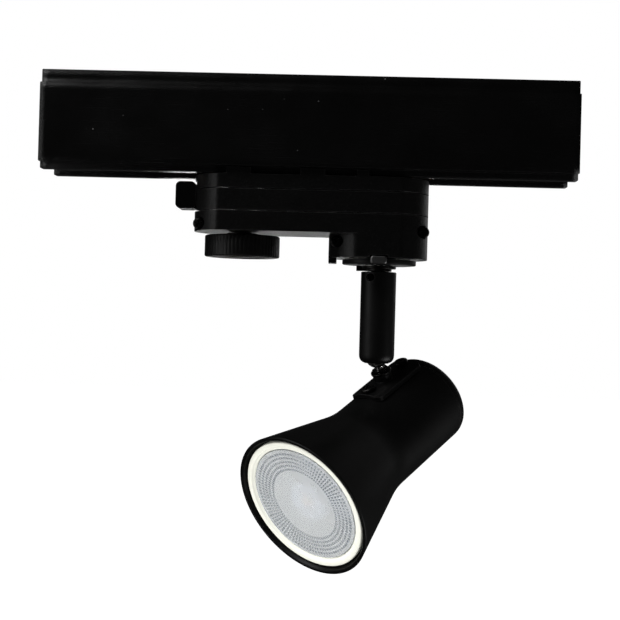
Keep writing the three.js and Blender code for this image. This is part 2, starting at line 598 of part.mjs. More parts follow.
function housingLine(offset) {
  const points = [];
  const steps = 6;
  for (let step = 0; step <= steps; step++) {
    const along = step / steps;
    const start = [HOUSING.kink - HOUSING.blend, flareRadius(HOUSING.kink - HOUSING.blend)];
    const corner = [HOUSING.kink, HOUSING.tube];
    const end = [HOUSING.kink + HOUSING.blend, HOUSING.tube];
    const blend = (i) =>
      (1 - along) ** 2 * start[i] + 2 * along * (1 - along) * corner[i] + along ** 2 * end[i];
    points.push([blend(0), blend(1) - offset]);
  }
  return points;
}

function makeHousing() {
  const inside = housingLine(HOUSING.wall).reverse();
  const rimRound = HOUSING.wall / 2;
  const profile = [
    [HOUSING.rim + rimRound, HOUSING.mouth], ...housingLine(0), [HOUSING.back, HOUSING.tube],
    [HOUSING.back, HOUSING.tube - HOUSING.wall], ...inside,
    [HOUSING.rim + rimRound, HOUSING.mouth - HOUSING.wall],
    [HOUSING.rim, HOUSING.mouth - HOUSING.wall * 0.7], [HOUSING.rim, HOUSING.mouth - HOUSING.wall * 0.3],
  ];
  const above = (geometry, along) => geometry.translate(0, FACE_REACH + along, 0);
  const studHole = above(upright(0, 30, BALL.neck + GAP, BALL.neck + GAP, SMALL_ROUND), 0);
  const screwHoles = PLATE.screws.map((y) =>
    above(upright(0, 30, SCREW.shank + GAP, SCREW.shank + GAP, SMALL_ROUND), y));
  piece(headAxis, 'head_housing', cut(turned(profile, ROUND + 8), studHole, ...screwHoles), blackPowder);
  const cap = [[HOUSING.back + GAP, CAP.spigot], [HOUSING.back + GAP, HOUSING.tube]];
  for (let step = 0; step <= 5; step++) {
    const angle = (step / 5) * (Math.PI / 2);
    cap.push([CAP.back - CAP.edge * (1 - Math.sin(angle)), HOUSING.tube - CAP.edge * (1 - Math.cos(angle))]);
  }
  cap.push([CAP.back, 0], [CAP.back - CAP.wall, 0], [CAP.back - CAP.wall, CAP.spigot - CAP.wall],
    [CAP.spigotFront, CAP.spigot - CAP.wall], [CAP.spigotFront, CAP.spigot]);
  piece(headAxis, 'rear_cap', turned(cap), blackPowder);
}

// Two curved slots take the lamp's pins as the lamp turns to lock.
function makeHolder() {
  const reach = LAMP.pinSpacing / 2;
  const clearance = LAMP.pinHead + 0.4;
  const slots = [0, 180].map((side) => {
    const shape = sector(reach - clearance, reach + clearance, side - HOLDER.twist - 32, side + 32);
    return raised(shape, -1, HOLDER.slotDepth, 6).rotateX(-Math.PI / 2).translate(0, HOLDER.front, 0);
  });
  piece(headAxis, 'lamp_holder', cut(rod(HOLDER.front, HOLDER.back, HOLDER.radius), ...slots), ceramic);
  const half = 6;
  const end = Math.sqrt((HOUSING.tube - HOUSING.wall - GAP) ** 2 - half ** 2);
  const bridge = box(-end, end, HOLDER.back + GAP, HOLDER.back + 1.5, -half, half);
  piece(headAxis, 'holder_bridge', bridge, zincSteel);
  const behind = HOLDER.back + 3.6;
  const above = HOLDER.radius + 1.6;
  const route = [[0, FACE_REACH, above], [0, HOLDER.back - 1.5, above], [0, behind - 1, above - 2.5],
    [0, behind, above - 5], [0, behind, above - 8.5]];
  piece(headAxis, 'head_wire', wire(route), creamPlastic);
}

makeBallStud();
makeSaddle();
makeHousing();
makeHolder();

// ---------------------------------------------------------------- lamp
function makeLamp() {
  const ring = [[0, LAMP.windowRadius], [LAMP.ringDepth, LAMP.windowRadius], [LAMP.ringDepth, LAMP.radius],
    [0.5, LAMP.radius], [0, LAMP.radius - 0.5]];
  piece(headAxis, 'lamp_ring', turned(ring), creamPlastic);
  piece(headAxis, 'lamp_lens', rod(0.6, LAMP.ringDepth, LAMP.windowRadius - GAP), clearLens);
  const body = [
    [LAMP.bodyFront, LAMP.radius - 0.4], [10, 22.2], [24, 17.2], [34, 13.6], [38, LAMP.neck],
    [LAMP.bodyBack, LAMP.neck], [LAMP.bodyBack, 0], [LAMP.boardDepth + 1.6, 0], [LAMP.boardDepth + 1.6, 17],
    [10, 20.8], [LAMP.bodyFront, LAMP.radius - 1.8],
  ];
  piece(headAxis, 'lamp_body', turned(body), creamPlastic);
  piece(headAxis, 'led_board', rod(LAMP.boardDepth, LAMP.boardDepth + 1.3, LAMP.boardRadius), ledBoard);
  const chipFace = LAMP.boardDepth - GAP - 1;
  piece(headAxis, 'led_emitter', rod(chipFace, chipFace + 1, LAMP.chip, MID_ROUND), ledPhosphor);
  const dome = new THREE.CylinderGeometry(LAMP.chip, 7.5, LAMP.boardDepth - 4.5, MID_ROUND)
    .translate(0, (LAMP.boardDepth + LAMP.ringDepth) / 2 - 0.5, 0);
  piece(headAxis, 'lamp_collimator', dome, clearLens);
  for (const [name, side] of [['lamp_pin_left', -1], ['lamp_pin_right', 1]]) {
    const start = LAMP.bodyBack + GAP;
    const pin = joined(rod(start, start + LAMP.pinLength, LAMP.pinRadius, SMALL_ROUND),
      rod(start + LAMP.pinLength - 3, start + LAMP.pinLength, LAMP.pinHead, SMALL_ROUND));
    piece(headAxis, name, pin.translate(side * LAMP.pinSpacing / 2, 0, 0), nickel);
  }
}

makeLamp();

export default spotlight;
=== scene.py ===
import json
import math

import bmesh
import bpy
from mathutils import Matrix, Vector


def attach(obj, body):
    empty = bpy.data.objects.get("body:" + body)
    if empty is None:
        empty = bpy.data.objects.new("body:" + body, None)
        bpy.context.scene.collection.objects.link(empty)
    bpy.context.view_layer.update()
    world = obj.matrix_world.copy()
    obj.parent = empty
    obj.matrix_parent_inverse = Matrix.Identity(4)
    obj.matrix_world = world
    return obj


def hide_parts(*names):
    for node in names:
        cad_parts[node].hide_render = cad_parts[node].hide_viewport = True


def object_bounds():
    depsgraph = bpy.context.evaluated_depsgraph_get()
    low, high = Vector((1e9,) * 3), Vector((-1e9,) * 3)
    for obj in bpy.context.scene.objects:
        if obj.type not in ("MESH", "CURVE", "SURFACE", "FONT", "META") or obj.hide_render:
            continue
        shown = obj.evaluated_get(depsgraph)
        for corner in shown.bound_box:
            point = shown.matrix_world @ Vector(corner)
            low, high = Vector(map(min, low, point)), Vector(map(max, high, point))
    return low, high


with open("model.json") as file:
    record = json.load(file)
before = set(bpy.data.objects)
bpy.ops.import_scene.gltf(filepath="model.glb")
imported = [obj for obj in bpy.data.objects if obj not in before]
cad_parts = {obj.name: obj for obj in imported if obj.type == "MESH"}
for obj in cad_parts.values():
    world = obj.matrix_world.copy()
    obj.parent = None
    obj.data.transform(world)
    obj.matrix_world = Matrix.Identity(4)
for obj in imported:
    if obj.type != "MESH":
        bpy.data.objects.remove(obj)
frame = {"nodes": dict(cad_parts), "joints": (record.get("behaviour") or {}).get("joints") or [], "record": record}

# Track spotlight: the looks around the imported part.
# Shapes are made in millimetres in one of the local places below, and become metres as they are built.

cad_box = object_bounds()

# ---------------------------------------------------------------- sizes, in millimetres
# Sizes that the stand-ins need and that the box round a CAD node doesn't give.
GAP = 0.3                       # air that the part keeps between pieces
STEM_TUBE = {
    "end_radius": 4.6, "end_round": 3.2, "bore": 3.0, "socket": 4.5, "socket_top": 9.3, "grub_hole": 1.5}
DISC_BORE = 4.5
BALL_STUD = {"neck": 1.9, "bore": 1.2}
HOUSING = {"wall": 1.5, "kink": 34.6, "blend": 5.5, "stud_hole": 2.2, "screw_hole": 1.3}
CAP = {"edge": 3.0, "wall": 2.0, "spigot": 15.5}
SCREW_SHANK = 1.0
ADAPTER_SCREW_HEAD = 1.3
SADDLE_SCREW_HEAD = 1.2
KNOB = {"flutes": 60, "flute": 0.1, "chamfer": 0.5, "rim": 3, "well": 3, "bar": 2.4}
LENS_RIBS = {"inner": 13.2, "outer": 20.8, "rows": 5, "ribs": 96, "relief": 0.1}
LENS_RELIEF_ROOM = 0.55         # how far the flat of the lens's back is inside the CAD disc's
CUP = {"back_radius": 5.3, "wall": 1.6, "depth": 3.2}
LAMP_SHELL = {"wall": 1.4, "waist": 22.2, "waist_at": 10, "neck": 12.6}

# How far each screw's cross is turned, in degrees.
ADAPTER_SCREW_TURNS = {"left": 20, "block": 38, "right": 8}
SADDLE_SCREW_TURNS = {"front": 25, "rear": 62}
HARD_EDGE = 35                  # edges steeper than this many degrees stay hard

# ---------------------------------------------------------------- places
MM = 0.001
IN_MM = Matrix.Scale(MM, 4)
joints = {joint["name"]: joint for joint in frame["joints"]}


def joint_place(name):
    return Vector(joints[name]["pos_m"])


def joint_axis(name):
    return Vector(joints[name]["axis"]).normalized()


def place_at(origin, x, y, z):
    """A local place in millimetres: its origin, and the directions of its three axes."""
    turn = Matrix((x, y, z)).transposed().to_4x4()
    return Matrix.Translation(origin) @ turn @ IN_MM


X, Y, Z = Vector((1, 0, 0)), Vector((0, 1, 0)), Vector((0, 0, 1))
ahead = joint_axis("lamp_twist")
across = joint_axis("ball_tilt")
stud_up = joint_axis("head_turn")

STEM = place_at(joint_place("stem_swivel"), X, Y, Z)          # the stem's axis, under the track
SELECTOR = place_at(joint_place("selector_turn"), X, Y, Z)    # the selector's axis
STUD = place_at(joint_place("ball_tilt"), across, -ahead, stud_up)    # the ball's centre, +Z up the stud
LAMP = place_at(joint_place("lamp_twist"), across, -stud_up, -ahead)  # the lamp's face, +Z backwards


def measured(node, place):
    """Lowest and highest corner of a CAD node in a local place, in millimetres."""
    inverse = place.inverted()
    points = [inverse @ vertex.co for vertex in frame["nodes"][node].data.vertices]
    low = Vector([min(point[axis] for point in points) for axis in range(3)])
    high = Vector([max(point[axis] for point in points) for axis in range(3)])
    return low, high


# ---------------------------------------------------------------- shader nodes
class Shader:
    """A material's node tree, with short calls for the nodes that the finishes use."""

    def __init__(self, name, **sockets):
        self.material = bpy.data.materials.new(name)
        self.material.use_nodes = True
        self.nodes = self.material.node_tree.nodes
        self.links = self.material.node_tree.links
        self.surface = self.nodes["Principled BSDF"]
        for socket, value in sockets.items():
            self.surface.inputs[socket.replace("_", " ")].default_value = value
        self.where = self.nodes.new("ShaderNodeTexCoord").outputs["Object"]

    def put(self, value, socket):
        """Links an output to a socket, or sets the socket to a number or colour."""
        if isinstance(value, bpy.types.NodeSocket):
            self.links.new(value, socket)
        else:
            socket.default_value = value

    def math(self, operation, first, second=0.0):
        node = self.nodes.new("ShaderNodeMath")
        node.operation = operation
        self.put(first, node.inputs[0])
        self.put(second, node.inputs[1])
        return node.outputs[0]

    def stretched(self, x, y, z):
        """The object's own coordinates, with each axis multiplied."""
        node = self.nodes.new("ShaderNodeMapping")
        node.inputs["Scale"].default_value = (x, y, z)
        self.links.new(self.where, node.inputs["Vector"])
        return node.outputs[0]

    def polar(self, place):
        """Distance from a place's axis in millimetres, and the turn about it in radians."""
        offset = self.nodes.new("ShaderNodeVectorMath")
        offset.operation = "SUBTRACT"
        self.links.new(self.where, offset.inputs[0])
        offset.inputs[1].default_value = place.translation
        sides = []
        for axis in (0, 1):
            dot = self.nodes.new("ShaderNodeVectorMath")
            dot.operation = "DOT_PRODUCT"
            self.links.new(offset.outputs[0], dot.inputs[0])
            dot.inputs[1].default_value = place.col[axis].xyz.normalized() / MM
            sides.append(dot.outputs["Value"])
        squares = [self.math("MULTIPLY", side, side) for side in sides]
        return self.math("SQRT", self.math("ADD", *squares)), self.math("ARCTAN2", sides[1], sides[0])

    def noise(self, size, detail=2.0, where=None):
        """Noise from 0 to 1, with features of about that size in millimetres."""
        node = self.nodes.new("ShaderNodeTexNoise")
        node.inputs["Scale"].default_value = 1 / (size * MM)
        node.inputs["Detail"].default_value = detail
        self.links.new(where or self.where, node.inputs["Vector"])
        return node.outputs["Fac"]

    def cells(self, size):
        """Distance to the nearest of scattered points about that many millimetres apart."""
        node = self.nodes.new("ShaderNodeTexVoronoi")
        node.inputs["Scale"].default_value = 1 / (size * MM)
        self.links.new(self.where, node.inputs["Vector"])
        return node.outputs["Distance"]

    def between(self, value, low, high, out_low=0.0, out_high=1.0):
        """Value carried from one range to another, held at its ends."""
        node = self.nodes.new("ShaderNodeMapRange")
        self.put(value, node.inputs["Value"])
        for socket, number in zip(("From Min", "From Max", "To Min", "To Max"),
                                  (low, high, out_low, out_high)):
            node.inputs[socket].default_value = number
        return node.outputs[0]

    def mix(self, share, first, second):
        node = self.nodes.new("ShaderNodeMix")
        node.data_type = "RGBA"
        self.put(share, node.inputs["Factor"])
        self.put(first, node.inputs["A"])
        self.put(second, node.inputs["B"])
        return node.outputs["Result"]

    def edges(self, radius):
        """1 on convex and concave edges within that many millimetres, 0 on flat surface."""
        bevel = self.nodes.new("ShaderNodeBevel")
        bevel.samples = 4
        bevel.inputs["Radius"].default_value = radius * MM
        geometry = self.nodes.new("ShaderNodeNewGeometry")
        dot = self.nodes.new("ShaderNodeVectorMath")
        dot.operation = "DOT_PRODUCT"
        self.links.new(bevel.outputs[0], dot.inputs[0])
        self.links.new(geometry.outputs["Normal"], dot.inputs[1])
        return self.between(self.math("SUBTRACT", 1.0, dot.outputs["Value"]), 0.02, 0.25)

    def bump(self, height, depth, strength=1.0, rounding=0.0):
        """Height from 0 to 1 becomes relief of that many millimetres, over edges rounded by a radius."""
        node = self.nodes.new("ShaderNodeBump")
        node.inputs["Strength"].default_value = strength
        node.inputs["Distance"].default_value = depth * MM
        self.put(height, node.inputs["Height"])
        if rounding:
            bevel = self.nodes.new("ShaderNodeBevel")
            bevel.samples = 6
            bevel.inputs["Radius"].default_value = rounding * MM
            self.links.new(bevel.outputs[0], node.inputs["Normal"])
        self.links.new(node.outputs["Normal"], self.surface.inputs["Normal"])

    def colour(self, value):
        self.put(value, self.surface.inputs["Base Color"])

    def roughness(self, value):
        self.put(value, self.surface.inputs["Roughness"])


def grey(value, warmth=0.0):
    return (value * (1 + warmth), value, value * (1 - warmth), 1.0)


# ---------------------------------------------------------------- finishes
def painted_track():
    """Semi-gloss black paint on extruded aluminium: draw lines, hairline scratches and a little dust."""
    shader = Shader("painted_track", Specular_IOR_Level=0.3)
    draw = shader.noise(0.35, 3.0, shader.stretched(0.02, 1, 1))
    scratch = shader.noise(0.22, 2.0, shader.stretched(0.015, 1, 1))
    dust = shader.between(shader.cells(5.5), 0.03, 0.055, 1.0, 0.0)
    dusty = shader.math("MULTIPLY", dust, shader.between(shader.noise(9, 2.0), 0.5, 0.62))
    worn = shader.edges(0.5)
    body = shader.mix(shader.noise(14, 3.0), grey(0.0004), grey(0.0009))
    edged = shader.mix(shader.math("MULTIPLY", worn, 0.5), body, grey(0.02))
    shader.colour(shader.mix(dusty, edged, grey(0.12)))
    base = shader.between(shader.noise(20, 3.0), 0.3, 0.7, 0.2, 0.28)
    fine = shader.between(scratch, 0.62, 0.72, 0.0, 0.04)
    shader.roughness(shader.math("ADD", base, fine))
    shader.bump(draw, 0.0006, 0.4, 3.2)
    return shader.material


def grained_plastic():
    """Fine-grained black moulding: shallow spark-eroded texture, a little paler on rubbed edges."""
    shader = Shader("grained_plastic", Specular_IOR_Level=0.1)
    coarse = shader.noise(0.85, 3.0)
    fine = shader.noise(0.4, 2.0)
    grain = shader.math("ADD", shader.math("MULTIPLY", coarse, 0.7), shader.math("MULTIPLY", fine, 0.3))
    flecks = shader.between(shader.cells(1.3), 0.05, 0.12, 1.0, 0.0)
    body = shader.mix(shader.noise(6, 3.0), grey(0.0006), grey(0.0013))
    spotted = shader.mix(shader.math("MULTIPLY", flecks, 0.35), body, grey(0.02))
    rubbed = shader.math("MULTIPLY", shader.edges(0.35), shader.between(coarse, 0.35, 0.6, 0.2, 0.6))
    shader.colour(shader.mix(rubbed, spotted, grey(0.03)))
    shader.roughness(shader.between(grain, 0.3, 0.7, 0.3, 0.42))
    shader.bump(grain, 0.16, 1.0)
    return shader.material


def powder_coat():
    """Matte-satin black powder coat: fine orange peel, slow changes of sheen, thin at the edges."""
    shader = Shader("powder_coat", Specular_IOR_Level=0.09)
    peel = shader.noise(0.55, 2.0)
    fine = shader.noise(0.14, 2.0)
    grain = shader.math("ADD", shader.math("MULTIPLY", peel, 0.6), shader.math("MULTIPLY", fine, 0.4))
    body = shader.mix(shader.noise(11, 3.0), grey(0.0007), grey(0.0014))
    dust = shader.between(shader.cells(3.2), 0.02, 0.045, 1.0, 0.0)
    dusty = shader.math("MULTIPLY", dust, shader.between(shader.noise(7, 2.0), 0.55, 0.68, 0.0, 0.5))
    edged = shader.mix(shader.math("MULTIPLY", shader.edges(0.4), 0.45), body, grey(0.03))
    shader.colour(shader.mix(dusty, edged, grey(0.08)))
    shader.roughness(shader.between(shader.noise(16, 3.0), 0.3, 0.7, 0.4, 0.5))
    shader.bump(grain, 0.02, 0.6)
    return shader.material


def turned_metal(name, dark, light, roughness, relief=0.004, worn=None):
    """Plated or blackened metal: fine turning lines, uneven plating and brighter edges."""
    shader = Shader(name, Metallic=1.0)
    lines = shader.noise(0.12, 3.0, shader.stretched(1, 1, 4))
    patches = shader.noise(2.2, 3.0)
    body = shader.mix(patches, dark, light)
    shader.colour(shader.mix(shader.edges(0.25), body, worn or light))
    shader.roughness(shader.between(lines, 0.3, 0.7, roughness * 0.8, roughness * 1.3))
    shader.bump(lines, relief, 0.6)
    return shader.material


def satin_plastic(name, low, high, roughness, sheen_size=0.5):
    """Pale satin moulding with a soft, faintly uneven surface."""
    shader = Shader(name, Specular_IOR_Level=0.5)
    mottle = shader.noise(4.0, 3.0)
    skin = shader.noise(sheen_size, 3.0)
    edged = shader.mix(shader.math("MULTIPLY", shader.edges(0.3), 0.35), shader.mix(mottle, low, high), high)
    shader.colour(edged)
    shader.roughness(shader.between(skin, 0.3, 0.7, roughness * 0.85, roughness * 1.2))
    shader.bump(skin, 0.012, 0.5)
    return shader.material


def clear_optic():
    """Slightly milky moulded plastic, with painted shade in dark dashes along the rows of small ribs that run
    round it.
    """
    shader = Shader("clear_optic", Transmission_Weight=0.73, IOR=1.49)
    inner, outer = LENS_RIBS["inner"], LENS_RIBS["outer"]
    reach, turn = shader.polar(LAMP)
    row_turn = math.pi * LENS_RIBS["rows"] / (outer - inner)
    row = shader.math("SINE", shader.math("MULTIPLY", shader.math("SUBTRACT", reach, inner), row_turn))
    rib = shader.math("SINE", shader.math("MULTIPLY", turn, LENS_RIBS["ribs"] / 2))
    # Painted shade: dark dashes over the ribbed rows, standing in for the shade the ribs show in clear plastic.
    dash = shader.math("MULTIPLY", shader.math("ABSOLUTE", row), shader.math("ABSOLUTE", rib))
    zone = shader.math("MULTIPLY", shader.between(reach, inner, inner + 0.4),
                       shader.between(reach, outer, outer + 0.4, 1.0, 0.0))
    uneven = shader.between(shader.noise(7.0, 2.0), 0.3, 0.7, 0.65, 1.0)
    painted_rib_shade = shader.math("MULTIPLY", shader.math("MULTIPLY", shader.between(dash, 0.4, 0.7), zone), uneven)
    ripple = shader.noise(5.0, 2.0)
    clear = shader.mix(ripple, (0.93, 0.96, 0.99, 1.0), (0.98, 0.99, 1.0, 1.0))
    shader.colour(shader.mix(painted_rib_shade, clear, (0.3, 0.34, 0.39, 1.0)))
    shader.roughness(shader.between(shader.noise(2.0, 2.0), 0.3, 0.7, 0.02, 0.05))
    shader.bump(ripple, 0.01, 0.3)
    return shader.material


def frosted_optic():
    """A frosted cup that shows the peach of the emitter under its middle."""
    shader = Shader("frosted_optic", Transmission_Weight=0.3, IOR=1.49)
    reach, _ = shader.polar(LAMP)
    skin = shader.noise(0.8, 2.0)
    cool = shader.mix(skin, (0.74, 0.78, 0.84, 1.0), (0.84, 0.87, 0.92, 1.0))
    glow = shader.between(reach, 0.8, 4.2, 0.85, 0.0)
    shader.colour(shader.mix(glow, cool, (0.9, 0.72, 0.58, 1.0)))
    shader.roughness(shader.between(skin, 0.3, 0.7, 0.22, 0.34))
    shader.bump(skin, 0.01, 0.4)
    return shader.material


def phosphor():
    """Silicone over phosphor: peach, finely speckled, with a soft skin."""
    shader = Shader("phosphor", Specular_IOR_Level=0.5)
    speck = shader.noise(0.3, 2.0)
    shader.colour(shader.mix(speck, (0.9, 0.58, 0.34, 1.0), (0.95, 0.72, 0.5, 1.0)))
    shader.roughness(shader.between(speck, 0.3, 0.7, 0.3, 0.45))
    shader.bump(speck, 0.02, 0.5)
    return shader.material


finishes = {
    "track_paint": painted_track(),
    "black_plastic": grained_plastic(),
    "black_coat": powder_coat(),
    "black_steel": turned_metal(
        "black_steel", grey(0.006), grey(0.014, 0.03), 0.38, worn=grey(0.05, 0.04)),
    "nickel": turned_metal("nickel", grey(0.62, 0.02), grey(0.82, 0.02), 0.14, 0.002),
    "zinc_steel": turned_metal("zinc_steel", grey(0.05), grey(0.1), 0.42),
    "copper": turned_metal("copper", (0.55, 0.28, 0.14, 1), (0.8, 0.45, 0.26, 1), 0.28),
    "insulator": satin_plastic("insulator", (0.62, 0.61, 0.56, 1), (0.72, 0.71, 0.67, 1), 0.5),
    "lamp_plastic": satin_plastic("lamp_plastic", (0.72, 0.72, 0.63, 1), (0.8, 0.8, 0.72, 1), 0.36),
    "led_board": satin_plastic("led_board", (0.86, 0.88, 0.91, 1), (0.92, 0.94, 0.96, 1), 0.4),
    "ceramic": satin_plastic("ceramic", (0.7, 0.66, 0.57, 1), (0.82, 0.78, 0.7, 1), 0.7, 0.25),
    "grey_rubber": satin_plastic("grey_rubber", grey(0.05), grey(0.07), 0.7, 0.3),
    "wire_sleeve": satin_plastic("wire_sleeve", (0.66, 0.64, 0.56, 1), (0.75, 0.73, 0.66, 1), 0.6, 0.3),
    "lens": clear_optic(),
    "frosted_cup": frosted_optic(),
    "phosphor": phosphor(),
}
slot_of = {row["node"]: row["material_slot"] for row in frame["record"]["subparts"]}
body_of_node = {
    node: body for body, nodes in frame["record"]["behaviour"]["bodies"].items() for node in nodes}


# ---------------------------------------------------------------- mesh helpers
def arc_points(before, corner, after, fillet, steps=6):
    """A rounded corner between two straight lines, as points of a quadratic curve."""
    start = corner + (before - corner).normalized() * fillet
    end = corner + (after - corner).normalized() * fillet
    shares = [step / steps for step in range(steps + 1)]
    return [start * (1 - t) ** 2 + corner * 2 * t * (1 - t) + end * t ** 2 for t in shares]


def rounded(corners, closed=True):
    """A line through [x, y] or [x, y, fillet] corners, with the fillets drawn as curves."""
    points = [Vector(corner[:2]) for corner in corners]
    line = []
    for index, corner in enumerate(corners):
        fillet = corner[2] if len(corner) > 2 else 0
        inside = closed or 0 < index < len(corners) - 1
        if fillet and inside:
            before = points[index - 1]
            after = points[(index + 1) % len(points)]
            line += arc_points(before, points[index], after, fillet)
        else:
            line.append(points[index])
    return line


def finished_mesh(name, mesh_data, smooth_angle=HARD_EDGE):
    """Turns a bmesh into a smooth-shaded mesh with its normals out and its hard edges kept."""
    bmesh.ops.remove_doubles(mesh_data, verts=mesh_data.verts, dist=1e-7)
    bmesh.ops.recalc_face_normals(mesh_data, faces=mesh_data.faces)
    mesh = bpy.data.meshes.new(name)
    mesh_data.to_mesh(mesh)
    mesh_data.free()
    mesh.shade_smooth()
    mesh.set_sharp_from_angle(angle=math.radians(smooth_angle))
    return mesh


def bridge(mesh_data, first, second):
    """Faces between two rings of corners: triangles where a ring is one point."""
    for side in range(len(first)):
        following = (side + 1) % len(first)
        corners = [first[side], first[following], second[following], second[side]]
        unique = list(dict.fromkeys(corners))
        if len(unique) > 2:
            mesh_data.faces.new(unique)


def lathed(name, profile, place, sides, smooth_angle=HARD_EDGE):
    """A closed profile of (radius, along) points in millimetres, turned about the place's Z axis."""
    mesh_data = bmesh.new()
    rings = []
    for radius, along in profile:
        if radius < 1e-6:
            rings.append([mesh_data.verts.new(place @ Vector((0, 0, along)))] * sides)
            continue
        ring = []
        for side in range(sides):
            angle = 2 * math.pi * side / sides
            point = Vector((radius * math.cos(angle), radius * math.sin(angle), along))
            ring.append(mesh_data.verts.new(place @ point))
        rings.append(ring)
    for first, second in zip(rings, rings[1:] + rings[:1]):
        bridge(mesh_data, first, second)
    return finished_mesh(name, mesh_data, smooth_angle)


def prism(name, outline, low, high, place):
    """An outline in X and Y, raised between two heights of the place."""
    mesh_data = bmesh.new()
    floor = [mesh_data.verts.new(place @ Vector((x, y, low))) for x, y in outline]
    roof = [mesh_data.verts.new(place @ Vector((x, y, high))) for x, y in outline]
    mesh_data.faces.new(floor)
    mesh_data.faces.new(roof)
    for index, corner in enumerate(floor):
        following = (index + 1) % len(floor)
        mesh_data.faces.new([corner, floor[following], roof[following], roof[index]])
    return finished_mesh(name, mesh_data)


def circle(radius, sides, y=0.0):
    turns = [2 * math.pi * side / sides for side in range(sides)]
    return [(radius * math.cos(turn), y + radius * math.sin(turn)) for turn in turns]


def rectangle(x0, x1, y0, y1):
    return [(x0, y0), (x1, y0), (x1, y1), (x0, y1)]


def carved(mesh, cutters):
    """The mesh with each cutter taken away from it; the cutters are used up."""
    blank = bpy.data.objects.new("blank", mesh)
    bpy.context.scene.collection.objects.link(blank)
    tools = []
    for cutter in cutters:
        tool = bpy.data.objects.new("tool", cutter)
        bpy.context.scene.collection.objects.link(tool)
        tools.append(tool)
        modifier = blank.modifiers.new("boolean", "BOOLEAN")
        modifier.operation = "DIFFERENCE"
        modifier.solver = "EXACT"
        modifier.object = tool
    evaluated = blank.evaluated_get(bpy.context.evaluated_depsgraph_get())
    result = bpy.data.meshes.new_from_object(evaluated)
    for used in [blank, *tools]:
        bpy.data.objects.remove(used)
    result.shade_smooth()
    result.set_sharp_from_angle(angle=math.radians(HARD_EDGE))
    return result


def soft_edges(piece, width):
    """Rounds a piece's hard edges by a few tenths of a millimetre."""
    bevel = piece.modifiers.new("soft_edges", "BEVEL")
    bevel.width = width * MM
    bevel.segments = 2
    bevel.limit_method = "ANGLE"
    bevel.angle_limit = math.radians(HARD_EDGE)
    normals = piece.modifiers.new("flat_faces", "WEIGHTED_NORMAL")
    normals.keep_sharp = True


def stand_in(name, mesh, *nodes, finish=None):
    """Puts a mesh in the place of CAD nodes: it rides on their body and takes their finish, or another."""
    piece = bpy.data.objects.new(name, mesh)
    bpy.context.scene.collection.objects.link(piece)
    mesh.materials.clear()
    mesh.materials.append(finishes[finish or slot_of[nodes[0]]])
    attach(piece, body_of_node[nodes[0]])
    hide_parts(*nodes)
    return piece


# ---------------------------------------------------------------- CAD nodes that stay
def soften_group():
    """Geometry nodes that join a faceted node's split corners and shade its shallow edges smooth."""
    group = bpy.data.node_groups.new("soften", "GeometryNodeTree")
    group.interface.new_socket("Geometry", in_out="INPUT", socket_type="NodeSocketGeometry")
    group.interface.new_socket("Geometry", in_out="OUTPUT", socket_type="NodeSocketGeometry")
    nodes, links = group.nodes, group.links
    start = nodes.new("NodeGroupInput")
    end = nodes.new("NodeGroupOutput")
    unsplit = nodes.new("GeometryNodeRemoveAttribute")
    unsplit.inputs["Name"].default_value = "custom_normal"
    merge = nodes.new("GeometryNodeMergeByDistance")
    merge.inputs["Distance"].default_value = 0.005 * MM
    smooth = nodes.new("GeometryNodeSetShadeSmooth")
    smooth.domain = "FACE"
    sharp = nodes.new("GeometryNodeSetShadeSmooth")
    sharp.domain = "EDGE"
    sharp.inputs["Shade Smooth"].default_value = False
    angle = nodes.new("GeometryNodeInputMeshEdgeAngle")
    steep = nodes.new("FunctionNodeCompare")
    steep.data_type = "FLOAT"
    steep.operation = "GREATER_THAN"
    steep.inputs["B"].default_value = math.radians(HARD_EDGE)
    links.new(start.outputs[0], unsplit.inputs["Geometry"])
    links.new(unsplit.outputs[0], merge.inputs["Geometry"])
    links.new(merge.outputs[0], smooth.inputs["Geometry"])
    links.new(smooth.outputs[0], sharp.inputs["Geometry"])
    links.new(angle.outputs["Unsigned Angle"], steep.inputs["A"])
    links.new(steep.outputs["Result"], sharp.inputs["Selection"])
    links.new(sharp.outputs[0], end.inputs[0])
    return group


EDGE_WIDTHS = {
    "track_extrusion": 0.2, "adapter_top": 0.25, "adapter_frame": 0.25, "adapter_base": 0.3,
    "lock_lever": 0.3, "saddle_plate": 0.45, "swivel_stop": 0.5, "stem_collar": 0.2, "swivel_disc": 0.35,
    "stud_nut": 0.2, "stud_flange": 0.25, "selector_shaft": 0.2,
}
DEFAULT_EDGE = 0.12


def finish_cad_nodes():
    soften = soften_group()
    for name, node in frame["nodes"].items():
        node.data.materials.clear()
        node.data.materials.append(finishes[slot_of[name]])
        joining = node.modifiers.new("soften", "NODES")
        joining.node_group = soften
        flatten = node.modifiers.new("flatten", "DECIMATE")
        flatten.decimate_type = "DISSOLVE"
        flatten.angle_limit = math.radians(0.5)
        soft_edges(node, EDGE_WIDTHS.get(name, DEFAULT_EDGE))


# ---------------------------------------------------------------- adapter pieces
def pan_screw(name, node, place, head, height, shank, length):
    """A pan-head screw with a cross recess, on the seat plane of its place."""
    dome = rounded([(head, 0), (head, height, height * 0.75), (0, height)], closed=False)
    profile = [(0, -length), (shank, -length), (shank, 0)] + [tuple(point) for point in dome]
    body = lathed(name, profile, place, 48)
    reach, blade, floor = head * 0.62, head * 0.13, height * 0.3
    slots = [
        prism("slot", rectangle(-reach, reach, -blade, blade), floor, height + 1, place),
        prism("slot", rectangle(-blade, blade, -reach, reach), floor, height + 1, place),
        lathed("well", [(0, floor - 0.3), (blade * 1.9, height + 0.2), (0, height + 0.2)], place, 24)]
    soft_edges(stand_in(name, carved(body, slots), node), 0.08)


